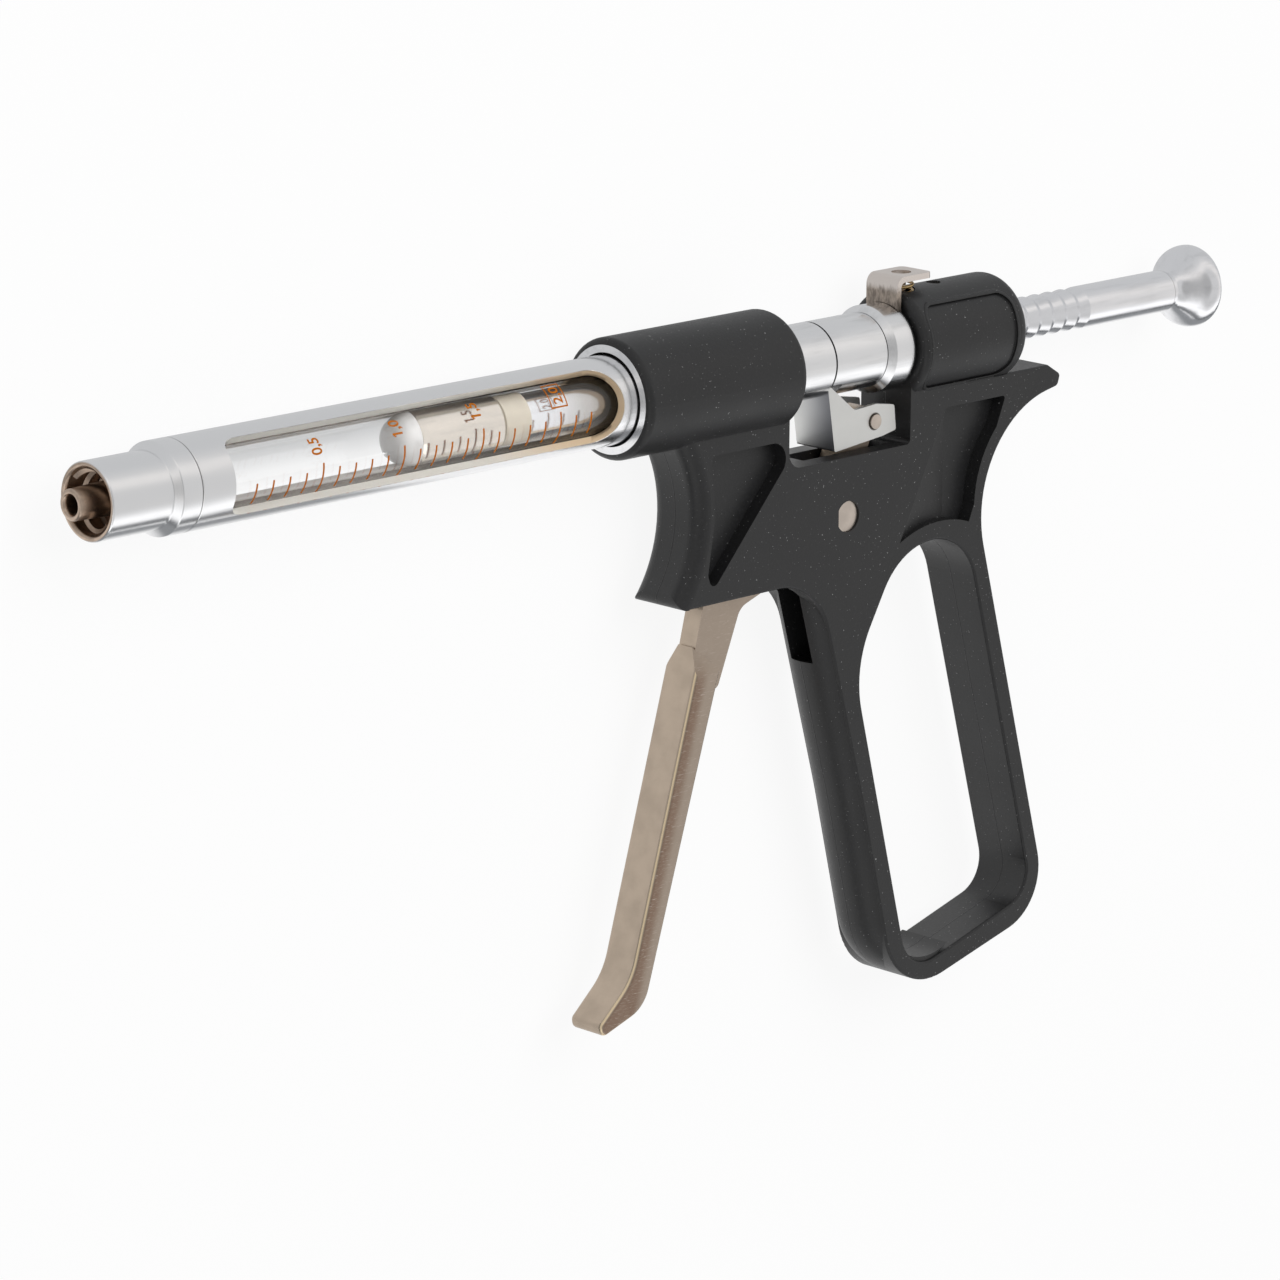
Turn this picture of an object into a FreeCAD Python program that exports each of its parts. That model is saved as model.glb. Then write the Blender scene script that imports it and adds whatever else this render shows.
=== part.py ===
import FreeCAD, Part
import math
import os

os.makedirs("parts", exist_ok=True)
V = FreeCAD.Vector

# An automatic syringe with a pistol grip: a glass barrel in a windowed metal sleeve, a notched
# piston rod that a carriage drives one notch forward at each squeeze of the lever, and a sheet
# metal latch on top that is pressed to free the rod.
# Millimetres. The model is laid out with X along the barrel towards the knob, Y towards the
# barrel's top and Z out of the left side, from the centre of the nozzle's front face. At the
# end it is moved so that it lies on its right side with its origin under its middle.

# fits
slip = 0.05             # radial clearance of pieces that slide or turn
seat = 0.03             # radial clearance of pieces that are pushed or screwed in
side_gap = 0.35         # free gap beside moving plates

# nozzle with locking collar
cone_reach = 2.54       # how far the cone stands in front of the collar
cone_r = 1.98           # at the tip
cone_taper = 0.03       # growth of the radius for each millimetre
fluid_r = 1.05
fluid_mouth_r = 1.45
fluid_mouth_len = 0.6
lock_r = 4.97
lock_bore_r = 4.0
lock_depth = 6.0
lock_len = 9.5
lock_edge = 0.35
cone_edge = 0.3
joint_edge = 0.12       # bevels that mark the joint between nozzle and sleeve
step_len = 0.8          # cone from the collar up to the barrel's radius
nozzle_len = 13.4
nozzle_spigot = 2.8     # part that screws into the sleeve

# barrel sleeve with its two windows
barrel_r = 5.92
barrel_bore_r = 4.62
barrel_hold = 17.0      # length of sleeve that sits in the grip
window_lead = 5.15      # from the nozzle's joint to the window
window_len = 66.0
window_half = 4.73      # half width at the outer surface
window_flare = 0.72     # half width lost for each millimetre of depth
window_corner = 2.3
window_turn = 9.5       # the windows face this far above the side, in degrees

# glass, seals and piston
glass_wall = 1.1
washer_thk = 1.2
seal_thk = 1.0
guide_len = 4.0         # guide bush inside the sleeve
guide_flange = 1.2
piston_at = 47.1        # front of the piston, at the 1.0 ml line
cap_len = 4.2
cap_round = 0.8
cap_gap = 0.03
head_len = 14.5
head_gap = 0.1
head_edge = 0.5
band_len = 4.3
band_gap = 0.25
spigot_r = 2.0
spigot_len = 4.0        # how far the rod goes into the head
cap_stud_r = 1.4
cap_stud_len = 2.6

# notched rod and knob
rod_r = 2.95
notch_pitch = 2.674     # 0.1 ml in this bore
notch_depth = 0.32
notch_steep = 0.9       # length of a notch's steep side
notch_count = 29
notches_ahead = 14.175  # of the latch plate
rod_tail = 18.2         # plain rod behind the last notch
knob_neck_r = 2.65
knob_neck = 1.0
knob_r = 5.83
knob_len = 7.9
knob_rim = 6.16         # from the rod's end to the knob's widest place
knob_edge = 0.35        # depth of the dome where it is 0.62 of the knob's radius
knob_stud_r = 1.5
knob_stud_len = 5.0

# moulded grip
grip_front = 87.0       # from the nozzle's face to the front collar
front_collar_len = 29.5
front_collar_r = 8.1
bay_len = 23.6          # open bay between the two collars
bay_floor = 13.0        # below the barrel's axis
bay_corner = 2.2
bay_rear_corner = 0.7
rear_collar_len = 20.9
rear_collar_r = 7.5
collar_round = 1.0
tail_round = 1.8
plate_thk = 9.2
edge_round = 0.35
shoulder = 6.0          # top of the plate behind the rear collar, below the axis
belly = 29.1            # underside of the body, below the axis
crease_x = 15.0         # from the collar's front to the deepest point of the hollowed front
crease_y = 17.2
crease_r = 19.6
nose_depth = 2.25       # how far the rounded front stands before the hollow
nose_round = 2.15
nose_foot = 1.2         # radius at its lower end
rail_rise = 2.0         # crown of the front strut
rail_land = 0.05
rail_root = 0.8         # how deep its foot goes into the strut
pocket_depth = 2.1
pocket_ramp = 11.0      # length over which the rear pocket's floor goes down
pocket_step = 0.3       # depth at the shallow end of that floor
panel_depth = 0.3
panel_lead = 1.4
panel_len = 16.8
panel_half = 5.7
panel_corner = 2.0

# pieces inside the collars
liner_r = 7.19
liner_mouth_r = 6.2
liner_mouth_len = 7.0
liner_lip = 0.4
bush_r = 4.6
bush_len = 16.0
rod_room = 0.35         # round the rod in front of the bush
grub_r = 1.0
grub_back = 9.0         # from the rear collar's front face
grub_sink = 0.4

# carriage
carriage_r = 5.15
carriage_core_r = 4.2
carriage_in = 3.5       # length of the carriage inside the front collar at rest
carriage_line = 8.25    # from the front collar to the line where the yoke pushes
carriage_cover_len = 9.85
line_gap = 0.3
ring_line = 0.16        # fine line in front of the rear ring's cone
cone_len = 0.9
lead_in = 0.4
ring_r = 6.0
ring_round = 0.8
ring_gap = 0.2          # between the carriage and the rear collar
pawl_back = 3.5         # behind the line where the yoke pushes
pawl_len = 4.0
pawl_width = 2.6
pawl_clear = 0.08       # the pawl rides just clear of the notches
hoop_thk = 0.45
hoop_width = 1.0
hoop_gap = 1.2          # opening of the hoop

# return spring behind the guide bush
spring_wire = 0.6
spring_turns = 3.0

# lever, pivot and yoke
pivot_x = 11.6          # from the front collar's rear face
pivot_y = 21.2
pivot_r = 2.1
pivot_flat = 1.8
pivot_sink = 0.3
lever_thk = 3.0
lever_slot = 4.0
slot_rise = 2.0         # how far the slot cuts up into the bay
blade_width = 6.0
blade_round = 0.6
blade_top = 14.2        # below the pivot, where the plate begins to widen
blade_full = 17.8       # where it has its full width
blade_low = 66.0
blade_waist = 0.2       # taken off each side at the top of the blade
boss_r = 4.2
boss_gap = 0.1
arm_x = 6.1             # from the pivot to the yoke pin
arm_y = 12.0
arm_end_r = 1.8
yoke_pin_r = 1.0
yoke_thk = 0.6
yoke_half = 3.5
yoke_pin_proud = 0.3
saddle_r = 4.8
saddle_depth = 0.6      # how far the saddle goes into the web behind its front
web_top = -3.2          # top of the yoke's web, from the barrel's axis
web_lean = 1.5          # how far the web leans back towards its foot
web_foot = 3.1          # below the yoke pin
web_room = 1.6          # free length in the carriage behind the web
web_room_top = 2.9      # of that room, below the axis
coil_wire = 0.4
coil_turns = 1.5

# latch plate and its spring
latch_thk = 0.8
latch_width = 5.7
latch_top = 9.7         # above the axis
latch_reach = 7.0       # length of the flange over the collar
latch_disc_r = 4.2
latch_travel = 1.0
latch_clear = 0.08
latch_bend = 1.5        # outer radius of the bend
latch_corner = 0.9
latch_hole_r = 1.35
latch_hole_back = 3.0   # from the leg to the guide pin
guide_pin_r = 0.65
guide_pin_low = 1.4     # top of the pin below the latch's top
guide_foot = 0.4        # thickness of the pin's foot
guide_seat_r = 1.9
guide_seat_y = 3.9
latch_wire = 0.45
latch_turns = 4.0

# side views, as corners with x, y and corner radius
# the plate of the grip, from the front collar's front and the barrel's axis
strut_top = (35.5, -belly, 10.0)
strut_bend = (44.75, -61.3, 120.0)
heel_front = (52.5, -92.15, 9.6)
heel_back = (83.65, -84.05, 8.1)
back_hollow = (64.03, -12.8, 15.9)
beak = [(83.2, -9.2, 0.8), (83.7, -7.6, 0.6), (81.1, -shoulder, 0.5)]
rail_end = (61.5, -87.3, 0)
loop_corners = [
    (43.0, -42.65, 15.0), (51.83, -27.2, 10.8), (65.0, -27.2, 9.0),
    (80.1, -81.4, 4.8), (55.0, -88.6, 5.3),
]
front_pocket = [
    (14.9, -9.0, 0.8), (29.7, -9.0, 2.4), (28.6, -12.6, 2.0), (15.2, -27.4, 0.9),
    (14.4, -25.0, 0.5), (15.6, -17.4, 6.0),
]
rear_pocket = [(60.2, -9.0, 0.8), (72.3, -9.0, 0.4), (64.6, -27.4, 0.5), (51.0, -27.4, 0.5)]
over_loop = (59.4, -42.8, 18.1)
along_back = (81.7, -23.8, 15.4)
# the lever and its slot, from the pivot
slot_front = -5.9
slot_back = 11.4
lever_slot_corners = [
    (9.4, 4.2, 2.0), (5.4, -6.3, 4.0), (0.3, -20.2, 1.0), (-11.1, -20.2, 0),
    (-11.1, -12.0, 0), (-23.9, -12.0, 0), (-23.9, -3.4, 1.0), (-6.9, 2.8, 1.5),
]
arm_front = (-3.6, -0.4, 0)
arm_back = [(3.8, 0, 0), (0, -3.4, 0)]
arm_shoulder = (1.5, 1.0)   # below the yoke pin, and its corner radius
shank_corners = [
    (-24.4, -8.6, 3.5), (-20.2, -3.4, 2.5), (0, 4.0, 0), (1.2, -3.9, 0),
    (-17.4, -10.2, 2.5), (-21.6, -20.6, 1.2), (-27.4, -20.6, 0.5),
]
blade_corners = [
    (-26.2, -14.2, 0), (-38.5, -57.2, 9.0), (-44.3, -62.4, 0.9),
    (-44.0, -64.2, 0.9), (-36.0, -61.6, 5.0), (-22.4, -17.6, 0),
]

# the yoke's cheek, from the yoke pin
cheek_corners = [
    (1.6, -2.2, 0), (4.2, -1.7, 0.3), (3.8, 1.8, 0.4), (0.3, 2.4, 0.5), (-4.0, 2.1, 1.2),
]
cheek_neck = (0.7, 0.2, 0.1)    # behind the web's tip and below its top

# places along the barrel
nozzle_end = nozzle_len + nozzle_spigot
glass_x = nozzle_end + washer_thk
barrel_end = grip_front + barrel_hold
glass_end = barrel_end - guide_len - seal_thk
glass_r = barrel_bore_r - seat
glass_bore_r = glass_r - glass_wall
guide_end = barrel_end + guide_flange
front_collar_end = grip_front + front_collar_len
bay_end = front_collar_end + bay_len
grip_tail = bay_end + rear_collar_len
carriage_x = front_collar_end - carriage_in
line_x = front_collar_end + carriage_line
cover_end = line_x + line_gap + carriage_cover_len
carriage_end = bay_end - ring_gap
latch_end = carriage_end - ring_gap
latch_x = latch_end - latch_thk
head_x = piston_at + cap_len
band_x = head_x + head_len
rod_x = band_x + band_len
pivot = V(front_collar_end + pivot_x, -pivot_y, 0)
yoke_pin_at = pivot + V(arm_x, arm_y, 0)
half_thk = plate_thk / 2
rod_hole_r = rod_r + slip
guide_x = latch_end + latch_hole_back
pawl_x = line_x + pawl_back
hoop_x = pawl_x + (pawl_len - hoop_width) / 2
hoop_r = carriage_core_r - hoop_thk
notch_start = latch_x - notch_pitch * notches_ahead
notch_end = notch_start + notch_pitch * notch_count
rod_end = notch_end + rod_tail


def polygon(points):
    corners = [V(*p) for p in points]
    return Part.makePolygon(corners + corners[:1])


def turned(profile):
    # solid of revolution about the barrel's axis, from (x, radius) corners
    face = Part.Face(polygon([(x, r, 0) for x, r in profile]))
    return face.revolve(V(0, 0, 0), V(1, 0, 0), 360)


def rod(x0, x1, radius):
    return Part.makeCylinder(radius, x1 - x0, V(x0, 0, 0), V(1, 0, 0))


def rims(body, x):
    # round edges of a turned piece at one place along the barrel
    return [e for e in body.Edges if abs(e.CenterOfMass.x - x) < 0.01 and len(e.Vertexes) == 1]


def tube(x0, x1, outer, inner):
    return rod(x0, x1, outer).cut(rod(x0 - 1, x1 + 1, inner))


def post(centre, radius, z0, z1):
    # cylinder across the grip
    return Part.makeCylinder(radius, z1 - z0, V(centre.x, centre.y, z0), V(0, 0, 1))


def standing(x, radius, y0, y1):
    # cylinder that stands on the barrel
    return Part.makeCylinder(radius, y1 - y0, V(x, y0, 0), V(0, 1, 0))


def block(x0, x1, y0, y1, z0, z1):
    return Part.makeBox(x1 - x0, y1 - y0, z1 - z0, V(x0, y0, z0))


def rounded(corners):
    # closed outline from (x, y, corner radius), with a tangent arc at each rounded corner
    edges = []
    ends = []
    count = len(corners)
    for i in range(count):
        x, y, r = corners[i]
        here = V(x, y, 0)
        before = (V(corners[i - 1][0], corners[i - 1][1], 0) - here).normalize()
        after = (V(corners[(i + 1) % count][0], corners[(i + 1) % count][1], 0) - here).normalize()
        if r == 0:
            ends.append((here, here, None))
            continue
        half = before.getAngle(after) / 2
        reach = r / math.tan(half)
        middle = (before + after).normalize()
        top = here + middle * (r / math.sin(half) - r)
        ends.append((here + before * reach, here + after * reach, top))
    for i in range(count):
        start, stop, top = ends[i]
        if top is not None:
            edges.append(Part.Arc(start, top, stop).toShape())
        following = ends[(i + 1) % count][0]
        if stop.distanceToPoint(following) > 1e-6:
            edges.append(Part.LineSegment(stop, following).toShape())
    return Part.Wire(edges)


def slab(outline, z0, z1):
    face = Part.Face(outline)
    face.translate(V(0, 0, z0))
    return face.extrude(V(0, 0, z1 - z0))


def on_grip(points):
    # corners of the grip are given from the front collar's front
    return [(grip_front + x, y, r) for x, y, r in points]


def on_pivot(points):
    return [(pivot.x + x, pivot.y + y, r) for x, y, r in points]


def coil(radius, wire_r, length, turns, base, way):
    # open coil spring of six-sided wire, whose wire ends stay within its length
    height = length - 2 * wire_r
    helix = Part.makeHelix(height / turns, height, radius)
    corners = []
    for i in range(6):
        turn = math.radians(60 * i)
        corners.append((radius + wire_r * math.cos(turn), 0, wire_r * math.sin(turn)))
    spring = Part.Wire(helix.Edges).makePipeShell([polygon(corners)], True, True)
    spring.translate(V(0, 0, wire_r))
    spring.Placement = FreeCAD.Placement(base, FreeCAD.Rotation(V(0, 0, 1), way)) * spring.Placement
    return spring


def luer_nozzle():
    root_r = cone_r + cone_taper * (cone_reach + lock_depth)
    body = turned([
        (-cone_reach, fluid_mouth_r),
        (-cone_reach, cone_r),
        (lock_depth, root_r),
        (lock_depth, lock_bore_r),
        (lock_edge, lock_bore_r),
        (0, lock_bore_r + lock_edge),
        (0, lock_r - lock_edge),
        (lock_edge, lock_r),
        (lock_len, lock_r),
        (lock_len + step_len, barrel_r),
        (nozzle_len - joint_edge, barrel_r),
        (nozzle_len, barrel_r - joint_edge),
        (nozzle_len, barrel_bore_r - seat),
        (nozzle_end, barrel_bore_r - seat),
        (nozzle_end, fluid_r),
        (-cone_reach + fluid_mouth_len, fluid_r),
    ])
    tip = [e for e in rims(body, -cone_reach) if e.Curve.Radius > fluid_mouth_r + 0.01]
    return body.makeFillet(cone_edge, tip)


def front_seal_washer():
    return tube(nozzle_end, glass_x, barrel_bore_r - seat, fluid_r)


def window_outline(half, depth):
    # slot with round rear end and rounded front corners, at one depth of the wall
    front = nozzle_len + window_lead
    rear = front + window_len
    bow = rear - half
    nook = min(window_corner, half * 0.9)
    outline = rounded([(front, -half, nook), (bow, -half, 0), (bow, half, 0), (front, half, nook)])
    edges = [e for e in outline.Edges if e.CenterOfMass.x < bow - 0.01]
    edges.append(Part.Arc(V(bow, -half, 0), V(rear, 0, 0), V(bow, half, 0)).toShape())
    wire = Part.Wire(Part.__sortEdges__(edges))
    wire.translate(V(0, 0, depth))
    return wire


def barrel_sleeve():
    body = tube(nozzle_len, barrel_end, barrel_r, barrel_bore_r)
    front_rim = [e for e in rims(body, nozzle_len) if e.Curve.Radius > barrel_bore_r + 0.01]
    body = body.makeChamfer(joint_edge, front_rim)
    surface = math.sqrt(barrel_r ** 2 - window_half ** 2)
    inside = 0.4 * barrel_bore_r
    outside = barrel_r + 1
    wires = []
    for depth in (inside, outside):
        wires.append(window_outline(window_half + window_flare * (depth - surface), depth))
    cutter = Part.makeLoft(wires, True, True)
    cutter.rotate(V(0, 0, 0), V(1, 0, 0), window_turn)
    for turn in (0, 180):
        opening = cutter.copy()
        opening.rotate(V(0, 0, 0), V(1, 0, 0), turn)
        body = body.cut(opening)
    return body


def glass_barrel():
    return tube(glass_x, glass_end, glass_r, glass_bore_r)


def rear_seal_ring():
    return tube(glass_end, glass_end + seal_thk, glass_r, glass_bore_r)


def guide_bush():
    inside = rod(glass_end + seal_thk, barrel_end, barrel_bore_r - seat)
    flange = rod(barrel_end, guide_end, barrel_r)
    return inside.fuse(flange).cut(rod(glass_end, guide_end + 1, rod_hole_r)).removeSplitter()


def piston_cap():
    radius = glass_bore_r - cap_gap
    body = rod(piston_at, head_x, radius)
    body = body.makeFillet(cap_round, rims(body, piston_at))
    return body.cut(rod(head_x - cap_stud_len, head_x + 1, cap_stud_r))


def piston_head():
    radius = glass_bore_r - head_gap
    body = turned([
        (head_x, 0), (head_x, radius - head_edge), (head_x + head_edge, radius),
        (band_x - head_edge, radius), (band_x, radius - head_edge), (band_x, 0),
    ])
    body = body.cut(rod(band_x - spigot_len, band_x + 1, spigot_r))
    return body.fuse(rod(head_x - cap_stud_len, head_x, cap_stud_r)).removeSplitter()


def piston_guide_band():
    return tube(band_x, rod_x, glass_bore_r - band_gap, spigot_r)


def piston_rod():
    # the notches are shallow rings with their steep side to the front
    spigot_x = band_x - spigot_len
    profile = [(spigot_x, 0), (spigot_x, spigot_r), (rod_x, spigot_r), (rod_x, rod_r)]
    for i in range(notch_count):
        x = notch_start + i * notch_pitch
        profile.append((x, rod_r))
        profile.append((x + notch_steep, rod_r - notch_depth))
    profile.append((notch_end, rod_r))
    profile.append((rod_end, rod_r))
    profile.append((rod_end, 0))
    body = turned(profile)
    return body.cut(rod(rod_end - knob_stud_len, rod_end + 1, knob_stud_r))


def rod_knob():
    neck_x = rod_end + knob_neck
    rim_x = rod_end + knob_rim
    flare_x = rim_x - neck_x
    flare_r = knob_r - knob_neck_r
    tail = rod_end + knob_len
    edges = [
        Part.LineSegment(V(rod_end, 0, 0), V(rod_end, knob_neck_r, 0)).toShape(),
        Part.LineSegment(V(rod_end, knob_neck_r, 0), V(neck_x, knob_neck_r, 0)).toShape(),
    ]
    flare = Part.BSplineCurve()
    flare.interpolate([
        V(neck_x, knob_neck_r, 0),
        V(neck_x + 0.3 * flare_x, knob_neck_r + 0.28 * flare_r, 0),
        V(neck_x + 0.5 * flare_x, knob_neck_r + 0.62 * flare_r, 0),
        V(rim_x, knob_r, 0),
    ], InitialTangent=V(1, 0.15, 0), FinalTangent=V(1, 0, 0))
    edges.append(flare.toShape())
    dome = Part.BSplineCurve()
    dome_points = [V(rim_x, knob_r, 0), V(tail - knob_edge, 0.62 * knob_r, 0), V(tail, 0, 0)]
    dome.interpolate(dome_points, InitialTangent=V(1, 0, 0), FinalTangent=V(0, -1, 0))
    edges.append(dome.toShape())
    edges.append(Part.LineSegment(V(tail, 0, 0), V(rod_end, 0, 0)).toShape())
    body = Part.Face(Part.Wire(edges)).revolve(V(0, 0, 0), V(1, 0, 0), 360)
    return body.fuse(rod(rod_end - knob_stud_len, rod_end, knob_stud_r)).removeSplitter()


def grip_outline():
    # side view of the plate: hollowed front, belly, front strut, heel, back and beak
    crease_top = math.sqrt(crease_r ** 2 - crease_y ** 2)
    crease_low = math.sqrt(crease_r ** 2 - (belly - crease_y) ** 2)
    centre_x = crease_x - crease_r
    behind = back_hollow[0] + edge_round
    corners = [(centre_x + crease_low, -belly, 0), strut_top, strut_bend, heel_front, heel_back]
    corners += [back_hollow, *beak]
    corners += [(behind, -shoulder, 0), (behind, 0, 0), (centre_x + crease_top, 0, 0)]
    outline = rounded(on_grip(corners))
    low = V(grip_front + centre_x + crease_low, -belly, 0)
    top = V(grip_front + centre_x + crease_top, 0, 0)
    edges = []
    for edge in outline.Edges:
        middle = edge.CenterOfMass
        if middle.x > low.x + 0.5 or middle.y < -belly + 0.01:
            edges.append(edge)
    edges.append(Part.Arc(top, V(grip_front + crease_x, -crease_y, 0), low).toShape())
    return Part.Wire(Part.__sortEdges__(edges))


def finger_loop():
    # the open loop behind the front strut
    return rounded(on_grip(loop_corners))


def grip_nose():
    # rounded front edge swept along the hollowed front, with a rounded lower end
    centre = V(grip_front + crease_x - crease_r, -crease_y, 0)
    section = rounded([
        (centre.x + crease_r, half_thk, 0), (centre.x + crease_r - nose_depth, half_thk, nose_round),
        (centre.x + crease_r - nose_depth, -half_thk, nose_round), (centre.x + crease_r, -half_thk, 0),
    ])
    section.rotate(V(0, 0, 0), V(1, 0, 0), 90)
    section.translate(V(0, -crease_y, 0))
    section.rotate(centre, V(0, 0, 1), -60)
    nose = Part.Face(section).revolve(centre, V(0, 0, 1), 105)
    below = block(centre.x - 20, centre.x + 40, -belly - 40, -belly, -half_thk - 1, half_thk + 1)
    return nose.cut(below).cut(foot_corner(centre, crease_r - nose_depth))


def foot_corner(centre, ridge_r):
    # what lies outside an arc that touches the nose's ridge and the underside
    drop = belly - nose_foot - crease_y
    reach = ridge_r + nose_foot
    hub = V(centre.x + math.sqrt(reach ** 2 - drop ** 2), nose_foot - belly, 0)
    way = (centre - hub).normalize()
    high = hub + way * nose_foot
    low = hub - V(0, nose_foot, 0)
    middle = hub + (way - V(0, 1, 0)).normalize() * nose_foot
    far = centre.x - crease_r
    corners = [low, V(low.x, low.y - 1, 0), V(far, low.y - 1, 0), V(far, high.y, 0), high]
    outline = Part.Wire([Part.makePolygon(corners), Part.Arc(high, middle, low).toShape()])
    return slab(outline, -half_thk - 1, half_thk + 1)


def strut_rail():
    # crown swept down the front strut and round the heel; both of its ends lie inside the plate
    guide = rounded(on_grip([strut_top[:2] + (0,), strut_bend, heel_front, rail_end]))
    start = V(grip_front + strut_top[0], strut_top[1], 0)
    stop = V(grip_front + rail_end[0], rail_end[1], 0)
    path = [e for e in guide.Edges if not joins(e, start, stop)]
    along = V(grip_front + strut_bend[0], strut_bend[1], 0) - start
    side = V(along.y, -along.x, 0).normalize()
    half = V(0, 0, half_thk - edge_round - rail_land)
    crown = Part.Arc(start + half, start + side * rail_rise, start - half).toShape()
    root = side * -rail_root
    corners = [start - half, start - half + root, start + half + root, start + half]
    section = Part.Wire([crown, Part.makePolygon(corners)])
    return Part.Wire(Part.__sortEdges__(path)).makePipeShell([section], True, False)


def joins(edge, start, stop):
    middle = edge.CenterOfMass
    return middle.distanceToPoint((start + stop) * 0.5) < 0.01


def grip_plate():
    plate = slab(grip_outline(), -half_thk, half_thk)
    plate = plate.cut(slab(finger_loop(), -half_thk - 1, half_thk + 1))
    soft = []
    for edge in plate.Edges:
        middle = edge.CenterOfMass
        on_face = abs(abs(middle.z) - half_thk) < 0.01
        behind_nose = middle.x > grip_front + 20
        if on_face and behind_nose and middle.y < -shoulder - 0.1:
            soft.append(edge)
    return plate.makeFillet(edge_round, soft)


def grip_pockets():
    # moulded pockets on both faces, with walls that follow the front and the back of the grip
    tall = 20
    rear = slab(rounded(on_grip(rear_pocket)), 0, tall)
    for x, y, radius in (over_loop, along_back):
        rear = rear.cut(post(V(grip_front + x, y, 0), radius, -1, tall + 1))
    low_x = grip_front + rear_pocket[3][0]
    ramp = polygon([(low_x, 0, 0), (low_x + pocket_ramp, 0, 0), (low_x, pocket_depth - pocket_step, 0)])
    ramp.rotate(V(0, 0, 0), V(1, 0, 0), 90)
    ramp = Part.Face(ramp).extrude(V(0, -belly, 0))
    pocket = slab(rounded(on_grip(front_pocket)), 0, tall).fuse(rear.cut(ramp))
    left = pocket.copy()
    left.translate(V(0, 0, half_thk - pocket_depth))
    right = pocket.copy()
    right.translate(V(0, 0, -half_thk + pocket_depth - tall))
    return left.fuse(right)


def lever_slot_space():
    # mid-plane slot from the bay down to the belly, with a relief in the front strut
    half = lever_slot / 2
    top = pivot_y - bay_floor + slot_rise
    outline = rounded(on_pivot([(slot_front, top, 0), (slot_back, top, 0), *lever_slot_corners]))
    return slab(outline, -half, half)


def pivot_shape(radius, flat, z0, z1):
    # round pin with one flat that keeps it from turning
    far = radius + 1
    trim = block(pivot.x - far, pivot.x - flat, pivot.y - far, pivot.y + far, z0 - 1, z1 + 1)
    return post(pivot, radius, z0, z1).cut(trim)


def grip_body():
    front = rod(grip_front, front_collar_end, front_collar_r)
    front = front.makeFillet(collar_round, rims(front, grip_front) + rims(front, front_collar_end))
    rear = rod(bay_end, grip_tail, rear_collar_r)
    rear = rear.makeFillet(tail_round, rims(rear, grip_tail))
    rear = rear.makeFillet(collar_round, rims(rear, bay_end))
    body = grip_plate().fuse([grip_nose(), strut_rail(), front, rear])
    bay = rounded([
        (front_collar_end, -bay_floor, bay_corner), (bay_end, -bay_floor, bay_rear_corner),
        (bay_end, front_collar_r + 1, 0), (front_collar_end, front_collar_r + 1, 0),
    ])
    body = body.cut(slab(bay, -front_collar_r - 1, front_collar_r + 1))
    body = body.cut(rod(grip_front - 1, front_collar_end + 1, liner_r + seat))
    body = body.cut(rod(bay_end - 1, grip_tail, rod_r + rod_room))
    body = body.cut(rod(grip_tail - bush_len, grip_tail + 1, bush_r + seat))
    body = body.cut(grip_pockets())
    body = body.cut(lever_slot_space())
    body = body.cut(pivot_shape(pivot_r + slip, pivot_flat + slip, -half_thk - 1, half_thk + 1))
    panel_x = bay_end + panel_lead
    panel = slab(rounded([
        (panel_x, -panel_half, panel_corner), (panel_x + panel_len, -panel_half, panel_corner),
        (panel_x + panel_len, panel_half, panel_corner), (panel_x, panel_half, panel_corner),
    ]), 0, rear_collar_r + 1)
    body = body.cut(panel.cut(rod(bay_end - 1, grip_tail + 1, rear_collar_r - panel_depth)))
    grub_hole = standing(bay_end + grub_back, grub_r + seat, 0, rear_collar_r)
    spring_seat = standing(guide_x, guide_seat_r, guide_seat_y, rear_collar_r)
    return body.cut(grub_hole).cut(spring_seat).removeSplitter()


def front_liner():
    # metal insert of the front collar: mouth, seat of the barrel, and slideway of the carriage
    body = rod(grip_front, front_collar_end + liner_lip, liner_r)
    body = body.cut(rod(grip_front - 1, grip_front + liner_mouth_len, liner_mouth_r))
    body = body.cut(rod(grip_front, guide_end, barrel_r + seat))
    return body.cut(rod(guide_end - 1, front_collar_end + 1, carriage_r + slip))


def rear_bush():
    return tube(grip_tail - bush_len, grip_tail, bush_r, rod_hole_r)


def bush_grub_screw():
    return standing(bay_end + grub_back, grub_r, bush_r, rear_collar_r - grub_sink)


def carriage_core():
    # inner tube with the rear ring, hollowed behind for the latch plate
    body = turned([
        (carriage_x + carriage_in, rod_hole_r),
        (carriage_x + carriage_in, carriage_core_r),
        (cover_end, carriage_core_r),
        (cover_end, carriage_r),
        (cover_end + cone_len, ring_r),
        (carriage_end, ring_r),
        (carriage_end, rod_hole_r),
    ])
    outer_rim = [e for e in rims(body, carriage_end) if e.Curve.Radius > ring_r - 0.01]
    body = body.makeFillet(ring_round, outer_rim)
    disc_space = latch_disc_r + latch_travel + latch_clear
    body = body.cut(rod(latch_x - ring_gap, carriage_end + 1, disc_space))
    half = latch_width / 2 + side_gap
    body = body.cut(block(latch_x - ring_gap, carriage_end + 1, 0, ring_r + 1, -half, half))
    half = pawl_width / 2 + slip
    slot = block(pawl_x - slip, pawl_x + pawl_len + slip, 0, carriage_r, -half, half)
    return body.cut(slot).cut(hoop_groove())


def hoop_groove():
    return tube(hoop_x - slip, hoop_x + hoop_width + slip, carriage_r, hoop_r)


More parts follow.
